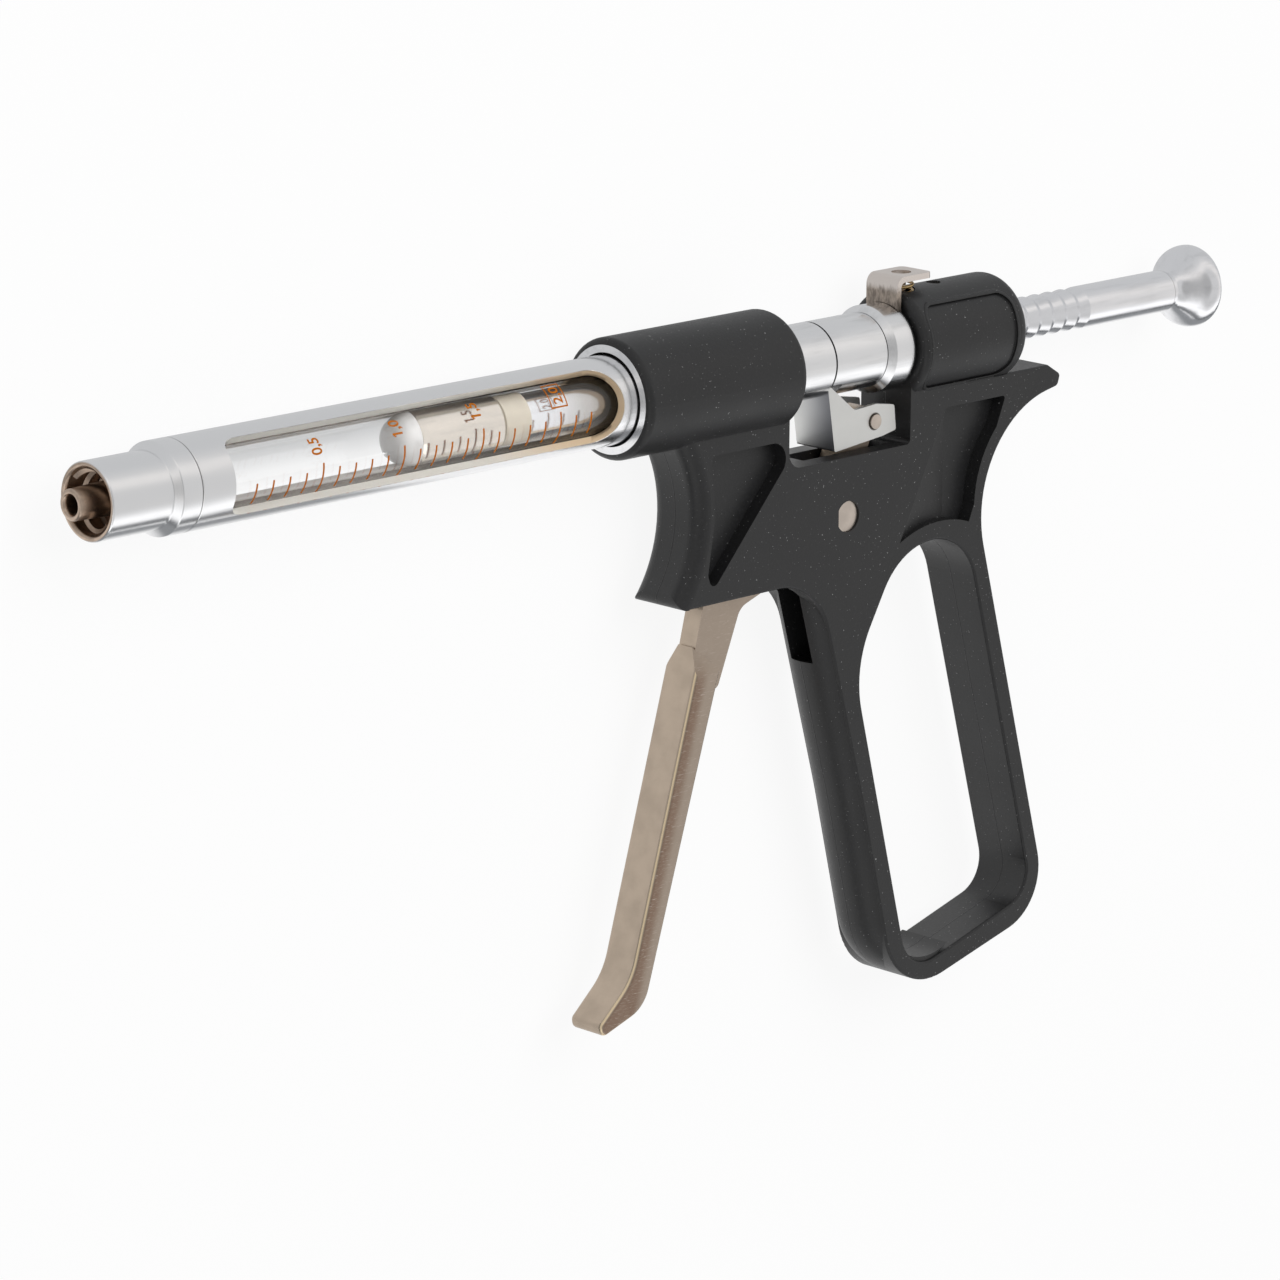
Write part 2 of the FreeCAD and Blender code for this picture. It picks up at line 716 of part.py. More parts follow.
def drive_pawl():
    # small block that is pressed towards the notches through a slot in the core
    half = pawl_width / 2
    body = block(pawl_x, pawl_x + pawl_len, 0, carriage_r, -half, half)
    body = body.common(tube(pawl_x - 1, pawl_x + pawl_len + 1, carriage_core_r, rod_r + pawl_clear))
    return body.cut(hoop_groove())


def pawl_hoop():
    # open spring ring in the groove round the core and over the pawl
    body = tube(hoop_x, hoop_x + hoop_width, carriage_core_r - seat, hoop_r)
    half = hoop_gap / 2
    return body.cut(block(hoop_x - 1, hoop_x + hoop_width + 1, -carriage_r, 0, -half, half))


def carriage_cover():
    body = tube(line_x + line_gap, cover_end - ring_line, carriage_r, carriage_core_r)
    room_end = line_x + yoke_thk + web_room
    room = block(line_x, room_end, -carriage_r - 1, -web_room_top, -carriage_r, carriage_r)
    return body.cut(room)


def carriage_front_ring():
    body = rod(carriage_x, line_x, carriage_r)
    body = body.makeChamfer(lead_in, rims(body, carriage_x))
    body = body.cut(rod(carriage_x - 1, carriage_x + carriage_in, rod_hole_r))
    return body.cut(rod(carriage_x + carriage_in, line_x + 1, carriage_core_r))


def return_spring():
    length = carriage_x - guide_end - 2 * slip
    radius = carriage_r - spring_wire
    return coil(radius, spring_wire / 2, length, spring_turns, V(guide_end + slip, 0, 0), V(1, 0, 0))


def trigger_lever():
    # flat plate in the grip, turned broadside below it as a finger blade
    half = lever_thk / 2
    left = arm_x - arm_end_r
    right = arm_x + arm_end_r
    top = arm_y + arm_end_r
    step, nook = arm_shoulder
    arm = slab(rounded(on_pivot([
        arm_front, (left, top, arm_end_r), (right, top, arm_end_r),
        (right, arm_y - step, nook), *arm_back,
    ])), -half, half)
    shank = slab(rounded(on_pivot(shank_corners)), -half, half)
    wide = blade_width / 2
    narrow = half - blade_waist
    tip_y = pivot.y - blade_low
    wide_y = pivot.y - blade_full
    top_y = pivot.y - blade_top
    widths = [
        (tip_y, wide), (wide_y, wide), (top_y, narrow),
        (top_y, -narrow), (wide_y, -wide), (tip_y, -wide),
    ]
    face = Part.Face(polygon([(pivot.x - blade_low, y, z) for y, z in widths]))
    blade = slab(rounded(on_pivot(blade_corners)), -wide, wide)
    blade = blade.common(face.extrude(V(blade_low, 0, 0)))
    soft = []
    for edge in blade.Edges:
        middle = edge.CenterOfMass
        broadside = all(abs(abs(v.Z) - wide) < 0.01 for v in edge.Vertexes)
        if broadside and abs(middle.z) > wide - 0.01 and middle.y < wide_y - 0.01:
            soft.append(edge)
    blade = blade.makeFillet(blade_round, soft)
    boss = post(pivot, boss_r, -lever_slot / 2 + boss_gap, lever_slot / 2 - boss_gap)
    body = shank.fuse([arm, blade, boss])
    body = body.cut(post(pivot, pivot_r + slip, -10, 10))
    return body.cut(post(yoke_pin_at, yoke_pin_r + seat, -10, 10)).removeSplitter()


def pivot_screw():
    return pivot_shape(pivot_r, pivot_flat, -half_thk + pivot_sink, half_thk - pivot_sink)


def drive_yoke():
    # bent sheet: a web that pushes on the carriage's line and two cheeks on the lever's pin
    tip_x = line_x + side_gap / 2
    pin = yoke_pin_at
    web_low = pin.y - web_foot
    behind, below, nook = cheek_neck
    cheek = rounded([
        (tip_x, web_top, 0), (tip_x + web_lean, web_low, 0.3),
        *[(pin.x + x, pin.y + y, r) for x, y, r in cheek_corners],
        (tip_x + behind, web_top - below, nook),
    ])
    body = slab(cheek, -yoke_half, yoke_half)
    slope = web_lean / (web_top - web_low)
    back = tip_x + yoke_thk + slope * web_top
    inner = polygon([
        (back, 0, 0), (back + slope * 18, -18, 0), (pin.x + 8, -18, 0), (pin.x + 8, 0, 0),
    ])
    body = body.cut(slab(inner, -yoke_half + yoke_thk, yoke_half - yoke_thk))
    body = body.cut(rod(tip_x - 2, tip_x + yoke_thk + saddle_depth, saddle_r))
    return body.cut(post(pin, yoke_pin_r + slip, -10, 10))


def yoke_pin():
    return post(yoke_pin_at, yoke_pin_r, -yoke_half - yoke_pin_proud, yoke_half + yoke_pin_proud)


def yoke_spring():
    # loose turns round the pin, between lever and cheek
    inside = lever_thk / 2 + slip
    outside = yoke_half - yoke_thk - slip
    base = yoke_pin_at + V(0, 0, inside)
    radius = yoke_pin_r + 2 * slip + coil_wire / 2
    return coil(radius, coil_wire / 2, outside - inside, coil_turns, base, V(0, 0, 1))


def latch_plate():
    # disc round the rod, with a tab that stands up through the carriage ring and folds back
    half = latch_width / 2
    leg = block(latch_x, latch_end, 0, latch_top, -half, half)
    disc = rod(latch_x, latch_end, latch_disc_r)
    under = latch_top - latch_thk
    flange = block(latch_x, latch_end + latch_reach - latch_thk, under, latch_top, -half, half)
    tab = leg.fuse(flange).removeSplitter()
    tip_x = latch_end + latch_reach - latch_thk
    outer = []
    inner = []
    tips = []
    for edge in tab.Edges:
        middle = edge.CenterOfMass
        if abs(middle.x - latch_x) < 0.01 and abs(middle.y - latch_top) < 0.01:
            outer.append(edge)
        if abs(middle.x - latch_end) < 0.01 and abs(middle.y - under) < 0.01:
            inner.append(edge)
        if abs(middle.x - tip_x) < 0.01 and abs(abs(middle.z) - half) < 0.01:
            tips.append(edge)
    tab = tab.makeFillet(latch_bend, outer).makeFillet(latch_corner, tips)
    crease = inner[0].CenterOfMass
    inner = [e for e in tab.Edges if e.CenterOfMass.distanceToPoint(crease) < 0.01]
    tab = tab.makeFillet(latch_bend - latch_thk, inner)
    body = tab.fuse(disc)
    reach = rod_r + latch_clear
    hole = rod(latch_x - 1, latch_end + 1, reach)
    raised = hole.copy()
    raised.translate(V(0, latch_travel + latch_clear, 0))
    gap = block(latch_x - 1, latch_end + 1, 0, latch_travel + latch_clear, -reach, reach)
    body = body.cut(hole).cut(raised).cut(gap)
    guide = standing(guide_x, latch_hole_r, latch_top - latch_thk - 1, latch_top + 1)
    return body.cut(guide).removeSplitter()


def latch_guide_pin():
    # pin on a round foot that is pushed into the collar
    pin = standing(guide_x, guide_pin_r, guide_seat_y, latch_top - guide_pin_low)
    foot = standing(guide_x, guide_seat_r - seat, guide_seat_y, guide_seat_y + guide_foot)
    return pin.fuse(foot).removeSplitter()


def latch_spring():
    low = guide_seat_y + guide_foot + slip
    length = latch_top - latch_thk - slip - low
    radius = guide_seat_r - 2 * slip - latch_wire / 2
    return coil(radius, latch_wire / 2, length, latch_turns, V(guide_x, low, 0), V(0, 1, 0))


pieces = {
    "luer_nozzle": luer_nozzle(),
    "front_seal_washer": front_seal_washer(),
    "barrel_sleeve": barrel_sleeve(),
    "glass_barrel": glass_barrel(),
    "rear_seal_ring": rear_seal_ring(),
    "guide_bush": guide_bush(),
    "piston_cap": piston_cap(),
    "piston_head": piston_head(),
    "piston_guide_band": piston_guide_band(),
    "piston_rod": piston_rod(),
    "rod_knob": rod_knob(),
    "grip_body": grip_body(),
    "front_liner": front_liner(),
    "rear_bush": rear_bush(),
    "bush_grub_screw": bush_grub_screw(),
    "carriage_core": carriage_core(),
    "drive_pawl": drive_pawl(),
    "pawl_hoop": pawl_hoop(),
    "carriage_cover": carriage_cover(),
    "carriage_front_ring": carriage_front_ring(),
    "return_spring": return_spring(),
    "trigger_lever": trigger_lever(),
    "pivot_screw": pivot_screw(),
    "drive_yoke": drive_yoke(),
    "yoke_pin": yoke_pin(),
    "yoke_spring": yoke_spring(),
    "latch_plate": latch_plate(),
    "latch_guide_pin": latch_guide_pin(),
    "latch_spring": latch_spring(),
}

# the origin goes under the middle of the lying syringe
box = Part.makeCompound(list(pieces.values())).optimalBoundingBox()
shift = V(-(box.XMin + box.XMax) / 2, -(box.YMin + box.YMax) / 2, -box.ZMin)
for name, shape in pieces.items():
    shape.translate(shift)
    shape.exportStep("parts/" + name + ".step")
    print(name, len(shape.Solids), round(shape.Volume, 2), shape.isValid())
print("shift", round(shift.x, 4), round(shift.y, 4), round(shift.z, 4))
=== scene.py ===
import math

import bmesh
import bpy
from mathutils import Matrix, Vector


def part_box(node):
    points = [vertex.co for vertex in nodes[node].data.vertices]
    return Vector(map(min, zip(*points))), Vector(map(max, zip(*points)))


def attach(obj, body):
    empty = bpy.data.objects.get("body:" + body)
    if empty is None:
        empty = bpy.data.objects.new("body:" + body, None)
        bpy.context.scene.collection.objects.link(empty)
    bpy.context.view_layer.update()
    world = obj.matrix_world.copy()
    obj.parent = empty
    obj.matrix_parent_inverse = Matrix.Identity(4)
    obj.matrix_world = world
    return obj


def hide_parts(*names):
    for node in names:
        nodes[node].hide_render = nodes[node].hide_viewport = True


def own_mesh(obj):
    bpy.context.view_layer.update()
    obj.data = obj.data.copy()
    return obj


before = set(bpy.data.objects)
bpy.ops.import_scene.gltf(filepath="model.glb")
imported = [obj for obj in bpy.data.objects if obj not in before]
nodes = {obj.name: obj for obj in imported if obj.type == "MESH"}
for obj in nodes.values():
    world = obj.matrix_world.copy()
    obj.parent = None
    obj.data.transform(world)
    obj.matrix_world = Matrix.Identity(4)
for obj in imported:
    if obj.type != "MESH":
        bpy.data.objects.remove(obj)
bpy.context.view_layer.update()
print("frame loaded with", len(nodes), "nodes")

mm = 0.001

# the barrel's axis and the front of the lock collar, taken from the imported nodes
nozzle = {
    "reach": 2.54,              # the cone in front of the collar
    "tipRadius": 1.98,
    "taper": 0.03,
    "fluidRadius": 1.05,
    "mouthRadius": 1.45,
    "mouthDepth": 0.6,
    "collarRadius": 4.97,
    "boreRadius": 4.0,
    "boreDepth": 6.0,
    "collarLength": 9.5,
    "stepLength": 0.8,
    "barrelRadius": 5.92,
    "length": 13.4,
    "spigotRadius": 4.59,
    "spigotEnd": 16.2,
}
nozzleLow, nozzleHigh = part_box("luer_nozzle")
origin = Vector((nozzleLow.x + nozzle["reach"] * mm, (nozzleLow.y + nozzleHigh.y) / 2,
                 (nozzleLow.z + nozzleHigh.z) / 2))


def place(x, y, z):
    # millimetres from the collar's front to metres in the frame
    return origin + Vector((x, y, z)) * mm


def around(x, angle, radius):
    # a place on the barrel; the angle is counted from its top towards the left side
    turn = math.radians(angle)
    return place(x, radius * math.cos(turn), radius * math.sin(turn))


class Value:
    # wraps a socket, so that shader maths reads as plain expressions
    def __init__(self, finish, socket):
        self.finish = finish
        self.socket = socket

    def math(self, operation, *others):
        return self.finish.node("Math", {"operation": operation}, dict(enumerate((self, *others))))

    def __add__(self, other):
        return self.math("ADD", other)

    __radd__ = __add__

    def __mul__(self, other):
        return self.math("MULTIPLY", other)

    __rmul__ = __mul__

    def __sub__(self, other):
        return self.math("SUBTRACT", other)

    def __rsub__(self, other):
        return self.finish.node("Math", {"operation": "SUBTRACT"}, {0: other, 1: self})

    def __pow__(self, other):
        return self.math("POWER", other)

    def __abs__(self):
        return self.math("ABSOLUTE")


class Finish:
    # one material, world or light tree
    def __init__(self, name, sockets=None, tree=None):
        if tree is None:
            self.material = bpy.data.materials.new(name)
            self.material.use_nodes = True
            tree = self.material.node_tree
            self.shader = tree.nodes["Principled BSDF"]
            for socket, value in (sockets or {}).items():
                self.shader.inputs[socket].default_value = value
        self.tree = tree

    def node(self, kind, settings=None, inputs=None, output=0):
        made = self.tree.nodes.new("ShaderNode" + kind)
        for key, value in (settings or {}).items():
            if key == "stops":
                ramp = made.color_ramp
                while len(ramp.elements) < len(value):
                    ramp.elements.new(0.5)
                for element, (position, colour) in zip(ramp.elements, value):
                    element.position = position
                    element.color = colour
            else:
                setattr(made, key, value)
        for key, value in (inputs or {}).items():
            self.join(value, made.inputs[key])
        return Value(self, made.outputs[output])

    def join(self, value, socket):
        if isinstance(value, Value):
            self.tree.links.new(value.socket, socket)
        else:
            socket.default_value = value

    def coords(self, centre=(0, 0, 0), turn=(0, 0, 0), scale=(1, 1, 1)):
        # object coordinates measured from a centre, then turned and scaled
        spot = self.node("TexCoord", output="Object")
        moved = self.node("VectorMath", {"operation": "SUBTRACT"}, {0: spot, 1: tuple(centre)})
        return self.node("Mapping", None, {"Vector": moved, "Rotation": turn, "Scale": scale})

    def split(self, vector):
        made = self.tree.nodes.new("ShaderNodeSeparateXYZ")
        self.tree.links.new(vector.socket, made.inputs[0])
        return [Value(self, made.outputs[i]) for i in range(3)]

    def noise(self, vector, scale, detail=3.0, roughness=0.5):
        return self.node("TexNoise", None,
                         {"Vector": vector, "Scale": scale, "Detail": detail, "Roughness": roughness})

    def ramp(self, fac, stops):
        return self.node("ValToRGB", {"stops": stops}, {"Fac": fac})

    def smooth(self, value, low, high):
        # soft step of a value between two places
        return self.node("MapRange", {"interpolation_type": "SMOOTHSTEP"},
                         {"Value": value, "From Min": low, "From Max": high})

    def between(self, value, places):
        # the same for two places in millimetres
        return self.smooth(value, places[0] * mm, places[1] * mm)

    def mix(self, factor, first, second):
        made = self.tree.nodes.new("ShaderNodeMix")
        made.data_type = "RGBA"
        self.join(factor, made.inputs[0])
        self.join(first, made.inputs[6])
        self.join(second, made.inputs[7])
        return Value(self, made.outputs[2])

    def bump(self, height, distance, strength=1.0, normal=None):
        inputs = {"Height": height, "Distance": distance, "Strength": strength}
        if normal is not None:
            inputs["Normal"] = normal
        return self.node("Bump", None, inputs)

    def fromAxis(self, coords):
        # distance from the barrel's axis
        x, y, z = self.split(coords)
        return (y * y + z * z) ** 0.5

    def feed(self, **sockets):
        names = {"colour": "Base Color", "roughness": "Roughness", "metallic": "Metallic",
                 "normal": "Normal"}
        for key, value in sockets.items():
            self.join(value, self.shader.inputs[names[key]])
        return self.material


def paint(material, *names):
    for name in names:
        piece = nodes[name]
        piece.data.materials.clear()
        piece.data.materials.append(material)


def grey(level, warm=0.0):
    # level of light, a little warmer or cooler
    return (level * (1 + warm), level, level * (1 - warm), 1)


camera = {
    "spot": (-450.006, 161.894, 546.243),       # from the collar's front, mm
    "right": (0.71024, 0.00748, 0.70392),
    "down": (-0.16759, -0.96940, 0.17940),
    "forward": (0.68372, -0.24538, -0.68725),
    "lens": 170.217,
}


def makeCamera():
    data = bpy.data.cameras.new("camera")
    data.sensor_width = 36
    data.lens = camera["lens"]
    data.clip_start = 0.01
    data.clip_end = 20
    eye = bpy.data.objects.new("camera", data)
    bpy.context.scene.collection.objects.link(eye)
    axes = (Vector(camera["right"]), -Vector(camera["down"]), -Vector(camera["forward"]))
    eye.matrix_world = Matrix.Translation(place(*camera["spot"])) @ Matrix(axes).transposed().to_4x4()
    bpy.context.scene.camera = eye


makeCamera()
print("camera placed")


studio = {
    "floorSize": 6.0,
    "floorColour": (0.93, 0.93, 0.93, 1),
    "floorWhite": 0.9,              # share of plain white that the camera sees
    "glowAbove": grey(0.62, -0.012),    # what metal sees of the floor on the barrel's upper side
    "glowBelow": grey(1.0),
    "glowEdge": (-6.0, 2.0),        # mm above the barrel's axis
    "glowFar": grey(0.3, -0.03),    # further off, under the front half of the barrel and the rod
    "glowFade": (7.0, 30.0),        # mm below the axis
    "glowFront": (62.0, 76.0),      # mm from the collar's front
    "glowRear": (160.0, 176.0),
    "worldLevel": 0.42,
    "keyPower": 6.5,
    "keySize": (0.9, 0.9),
    "keySpot": (0.1, 0.55, 0.85),
    "fillPower": 1.2,
    "fillSize": (0.5, 0.9),
    "fillSpot": (-0.8, -0.5, 0.5),
    # what metal sees of the room by height, towards the barrel's top and its underside
    "skyAbove": [(0.0, grey(0.6, -0.012)), (0.54, grey(0.64, -0.01)), (0.64, grey(0.68)),
                 (0.74, grey(0.86, 0.02)), (0.8, grey(0.84, 0.02)), (0.86, grey(0.66)), (1.0, grey(0.66))],
    "skyBelow": [(0.0, grey(0.5)), (0.44, grey(0.32, -0.03)), (0.5, grey(0.14, -0.04)),
                 (0.57, grey(0.2, -0.04)), (0.62, grey(1.2)), (0.72, grey(1.25)), (0.79, grey(0.8)),
                 (0.85, grey(0.62)), (1.0, grey(0.66))],
    "darkTowards": (-0.45, 0.1, 0.89),      # the dark part of the room behind the camera
    "darkLevel": 0.45,
    "darkEdge": (0.8, 0.96),
}


def makeFloor():
    form = bmesh.new()
    bmesh.ops.create_grid(form, x_segments=1, y_segments=1, size=studio["floorSize"] / 2)
    bmesh.ops.translate(form, verts=form.verts, vec=(0, 0, -0.0002))
    mesh = bpy.data.meshes.new("floor")
    form.to_mesh(mesh)
    form.free()
    floor = bpy.data.objects.new("floor", mesh)
    bpy.context.scene.collection.objects.link(floor)
    finish = Finish("floorPaper", {"Base Color": studio["floorColour"], "Roughness": 0.9,
                                   "Specular IOR Level": 0.0})
    rays = finish.tree.nodes.new("ShaderNodeLightPath")
    seen = Value(finish, rays.outputs["Is Camera Ray"]) + Value(finish, rays.outputs["Is Transmission Ray"])
    glossy = Value(finish, rays.outputs["Is Glossy Ray"])
    along, across = finish.split(finish.coords(origin))[:2]
    upper = finish.between(across, studio["glowEdge"])
    far = finish.between(across * -1, studio["glowFade"])
    bare = 1 - finish.between(along, studio["glowFront"]) + finish.between(along, studio["glowRear"])
    glow = finish.mix(upper, studio["glowBelow"], studio["glowAbove"])
    glow = finish.mix(far * bare, glow, studio["glowFar"])
    colour = finish.mix(glossy, (1, 1, 1, 1), glow)
    white = finish.node("Emission", None, {"Color": colour, "Strength": 1.0})
    share = finish.node("Math", {"operation": "ADD", "use_clamp": True},
                        {0: glossy, 1: seen * studio["floorWhite"]})
    lit = Value(finish, finish.shader.outputs[0])
    mixed = finish.node("MixShader", None, {0: share, 1: lit, 2: white})
    finish.join(mixed, finish.tree.nodes["Material Output"].inputs["Surface"])
    mesh.materials.append(finish.material)


def makeWorld():
    world = bpy.data.worlds.new("studio")
    bpy.context.scene.world = world
    world.use_nodes = True
    finish = Finish("studio", tree=world.node_tree)
    rays = finish.tree.nodes.new("ShaderNodeLightPath")
    seen = Value(finish, rays.outputs["Is Camera Ray"]) + Value(finish, rays.outputs["Is Transmission Ray"])
    glossy = Value(finish, rays.outputs["Is Glossy Ray"])
    direction = finish.node("TexCoord", output="Generated")
    x, y, z = finish.split(direction)
    height = z * 0.5 + 0.5
    above = finish.smooth(y, -0.45, -0.2)
    sky = finish.mix(above, finish.ramp(height, studio["skyBelow"]), finish.ramp(height, studio["skyAbove"]))
    away = studio["darkTowards"]
    facing = x * away[0] + y * away[1] + z * away[2]
    sky = finish.mix(finish.smooth(facing, *studio["darkEdge"]), sky, grey(studio["darkLevel"]))
    shown = finish.mix(glossy, grey(studio["worldLevel"]), sky)
    shown = finish.mix(finish.node("Clamp", None, {"Value": seen}), shown, (1, 1, 1, 1))
    background = finish.tree.nodes["Background"]
    finish.join(shown, background.inputs["Color"])
    background.inputs["Strength"].default_value = 1.0


def makeLamp(name, power, size, spot):
    data = bpy.data.lights.new(name, "AREA")
    data.shape = "RECTANGLE"
    data.size, data.size_y = size
    data.energy = power
    lamp = bpy.data.objects.new(name, data)
    bpy.context.scene.collection.objects.link(lamp)
    lamp.location = spot
    lamp.rotation_euler = (-Vector(spot)).to_track_quat("-Z", "Y").to_euler()
    lamp.visible_glossy = False     # metal sees the sky's own bright band instead


makeFloor()
makeWorld()
makeLamp("keyLight", studio["keyPower"], studio["keySize"], studio["keySpot"])
makeLamp("fillLight", studio["fillPower"], studio["fillSize"], studio["fillSpot"])
bpy.context.scene.view_settings.view_transform = "Standard"
print("studio built")


barrelMetal = {
    "colour": (0.86, 0.86, 0.87, 1),
    "roughness": 0.2,
    "wallColour": (0.93, 0.91, 0.84, 1),    # milled walls of the windows
    "wallRear": (0.90, 0.68, 0.44, 1),
    "wallStain": (0.5, 0.45, 0.38, 1),
    "wallRoughness": 0.5,
    "wallRadius": (5.78, 5.86),
    "boreRadius": (4.63, 4.67),
    "boreColour": (0.84, 0.75, 0.68, 1),
    "boreShade": (0.05, 0.035, 0.025, 1),    # painted shade: the bore darkens towards the grip
    "boreFade": (48.0, 74.0),
    "wallFade": (60.0, 80.0),
}
nozzleMetal = {
    "colour": barrelMetal["colour"],
    "roughness": 0.19,
    "bareColour": (0.56, 0.44, 0.35, 1),    # thinly plated front, cone and bore
    "bareRoughness": 0.3,
    "bareEdge": (4.72, 4.92),
    "seamColour": (0.2, 0.2, 0.2, 1),       # dark joint line in front of the sleeve
    "seam": 13.33,
    "seamWidth": (0.07, 0.14),
}
rodMetal = {
    "colour": (0.86, 0.86, 0.88, 1),
    "roughness": 0.18,
    "insideShadeColour": (0.46, 0.43, 0.40, 1),   # painted shade where the rod runs inside the barrel
    "innerStart": (72.0, 84.0),
    "innerEnd": (104.0, 112.0),
    "seamColour": (0.10, 0.075, 0.06, 1),   # joint line in front of the knob
    "seam": 196.85,
    "seamWidth": (0.1, 0.2),
}
headMetal = {"colour": (0.75, 0.69, 0.62, 1), "roughness": 0.2}


def latheMarks(finish, centre, strength=0.25):
    # marks run round the barrel's axis
    x = finish.split(finish.coords(centre))[0]
    marks = finish.noise(finish.node("CombineXYZ", None, {0: x * 9000.0, 1: 0.0, 2: 0.0}), 1.0, 2.0)
    return marks, finish.bump(marks, 0.00001, strength)


def turnedMetal(name, look):
    # lathe marks with faint clouding and thin smears along the barrel
    finish = Finish(name, {"Metallic": 1.0, "Base Color": look["colour"]})
    marks, normal = latheMarks(finish, origin)
    clouds = finish.noise(finish.coords(origin), 120.0, 3.0)
    smears = finish.noise(finish.coords(origin, scale=(0.12, 1.0, 1.0)), 900.0, 3.0)
    roughness = look["roughness"] + (marks - 0.5) * 0.08 + (clouds - 0.5) * 0.12 + (smears - 0.5) * 0.06
    dull = tuple(c * 0.9 for c in look["colour"][:3]) + (1,)
    colour = finish.mix(finish.smooth(smears, 0.45, 0.75), look["colour"], dull)
    if "insideShadeColour" in look:
        along = finish.split(finish.coords(origin))[0]
        # painted shade on the rod where it runs inside the barrel
        inner = finish.between(along, look["innerStart"]) * (1 - finish.between(along, look["innerEnd"]))
        colour = finish.mix(inner, colour, look["insideShadeColour"])
        seam = 1 - finish.between(abs(along - look["seam"] * mm), look["seamWidth"])
        colour = finish.mix(seam, colour, look["seamColour"])
    return finish.feed(colour=colour, roughness=roughness, normal=normal)


def sleeveMetal():
    # bright outside, milled window walls and a warmer bore with painted shade towards the grip
    finish = Finish("sleeveChrome", {"Metallic": 1.0, "Base Color": barrelMetal["colour"]})
    marks, normal = latheMarks(finish, origin)
    radius = finish.fromAxis(finish.coords(origin))
    clouds = finish.noise(finish.coords(origin), 120.0, 3.0)
    fine = finish.noise(finish.coords(origin), 3500.0, 2.0)
    wall = 1 - finish.between(radius, barrelMetal["wallRadius"])
    bore = 1 - finish.between(radius, barrelMetal["boreRadius"])
    along = finish.split(finish.coords(origin))[0]
    rear = finish.between(along, barrelMetal["wallFade"])
    walls = finish.mix(rear, barrelMetal["wallColour"], barrelMetal["wallRear"])
    walls = finish.mix(fine * 0.25, walls, barrelMetal["wallStain"])
    colour = finish.mix(wall, barrelMetal["colour"], walls)
    # painted shade, darkening the bore towards the grip
    rear = finish.between(along, barrelMetal["boreFade"])
    inside = finish.mix(rear, barrelMetal["boreColour"], barrelMetal["boreShade"])
    colour = finish.mix(bore, colour, inside)
    roughness = (barrelMetal["roughness"] + (marks - 0.5) * 0.08 + (clouds - 0.5) * 0.12
                 + wall * (barrelMetal["wallRoughness"] - barrelMetal["roughness"]))
    return finish.feed(colour=colour, roughness=roughness, normal=normal, metallic=1 - wall * 0.85)


def nozzleChrome():
    # chromed outside, bare nickel on the front face, the cone and in the bore
    finish = Finish("nozzleChrome", {"Metallic": 1.0, "Base Color": nozzleMetal["colour"]})
    marks, normal = latheMarks(finish, origin, 0.35)
    radius = finish.fromAxis(finish.coords(origin))
    bare = 1 - finish.between(radius, nozzleMetal["bareEdge"])
    stains = finish.noise(finish.coords(origin), 700.0, 4.0)
    dark = tuple(c * 0.72 for c in nozzleMetal["bareColour"][:3]) + (1,)
    colour = finish.mix(bare, nozzleMetal["colour"],
                        finish.mix(finish.smooth(stains, 0.4, 0.7), nozzleMetal["bareColour"], dark))
    off = abs(finish.split(finish.coords(origin))[0] - nozzleMetal["seam"] * mm)
    colour = finish.mix(1 - finish.between(off, nozzleMetal["seamWidth"]), colour, nozzleMetal["seamColour"])
    roughness = (nozzleMetal["roughness"] + (marks - 0.5) * 0.1 + (stains - 0.5) * 0.1
                 + bare * (nozzleMetal["bareRoughness"] - nozzleMetal["roughness"]))
    return finish.feed(colour=colour, roughness=roughness, normal=normal)


def plainMetal(name, colour, roughness, grain=350.0, darker=0.86):
    finish = Finish(name, {"Metallic": 1.0, "Base Color": colour})
    coords = finish.coords()
    clouds = finish.noise(coords, grain, 4.0)
    fine = finish.noise(coords, 4200.0, 2.0)
    tint = finish.mix(finish.smooth(clouds, 0.35, 0.7), colour, tuple(c * darker for c in colour[:3]) + (1,))
    rough = roughness + (clouds - 0.5) * 0.25 + (fine - 0.5) * 0.1
    return finish.feed(colour=tint, roughness=rough, normal=finish.bump(fine, 0.00001, 0.3))


lever = {
    "faceColour": (0.47, 0.385, 0.305, 1),
    "sideColour": (0.46, 0.38, 0.31, 1),
    "stainColour": (0.31, 0.215, 0.16, 1),
    "paleColour": (0.58, 0.49, 0.42, 1),
    "edgeHighlightColour": (0.84, 0.68, 0.46, 1),    # painted highlight on the rounded edges
    "roughness": 0.36,
    "bladeTop": (101.9, -35.4),     # front edge of the blade, mm from the collar's front
    "bladeFoot": (89.6, -78.4),
    "stainWidth": (1.0, 2.8),       # mm behind that edge
    "stainTop": (-41.0, -36.0),
}


